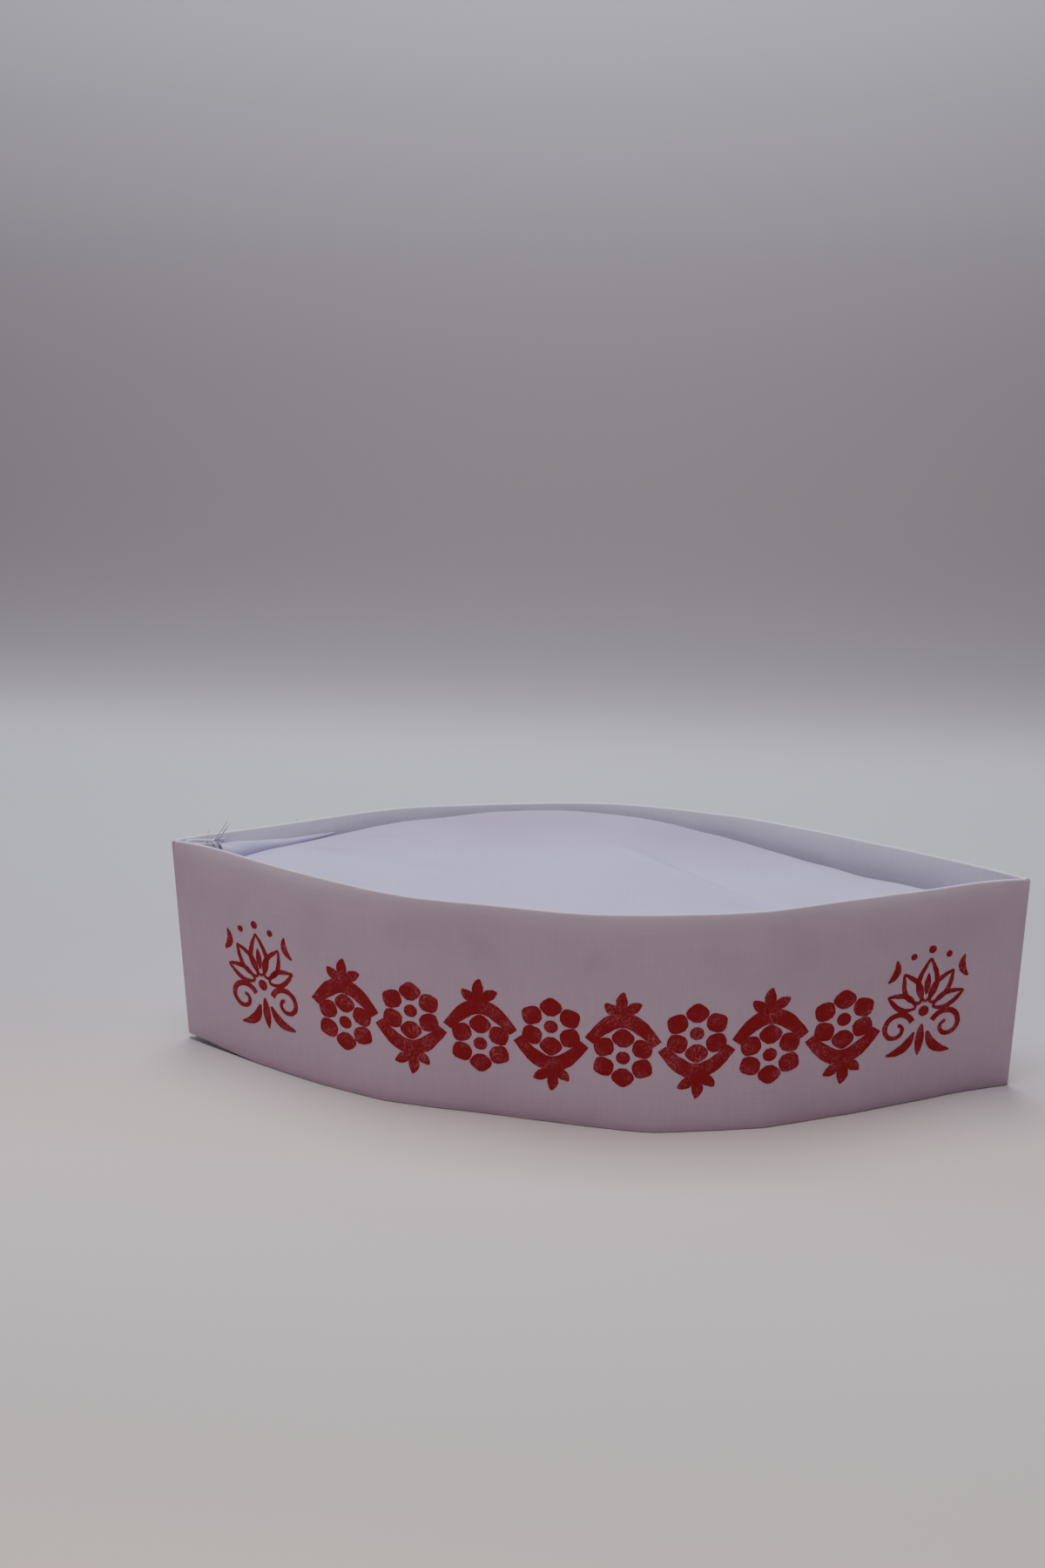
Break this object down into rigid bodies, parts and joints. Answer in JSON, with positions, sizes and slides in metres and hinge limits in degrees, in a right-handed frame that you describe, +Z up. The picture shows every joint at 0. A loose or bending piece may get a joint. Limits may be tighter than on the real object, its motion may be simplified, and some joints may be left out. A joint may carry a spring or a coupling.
{
  "type": "gandhi cap",
  "caption": "Folded white cotton cap with a tall band that meets in a fold at each tip, and a lens-shaped crown set low inside it.",
  "frame": {"origin": "centre of the bottom of the cap's box, on the floor that it stands on", "axes": "+X along the cap from the tip with the seam to the plain tip, +Y from the printed wall to the plain wall, +Z up"},
  "size_m": [0.2656, 0.0828, 0.071],
  "materials": {
    "band_cloth": "matt plain weave, starched, with a dark red print on one wall",
    "crown_cloth": "matt plain weave, single layer",
    "raw_edge_cloth": "matt plain weave with a frayed edge"
  },
  "bodies": {
    "root": {"band": "band_cloth", "crown_side": "crown_cloth", "crown_top": "crown_cloth", "crown_fold": "crown_cloth", "band_seam": "raw_edge_cloth"}
  },
  "joints": []
}
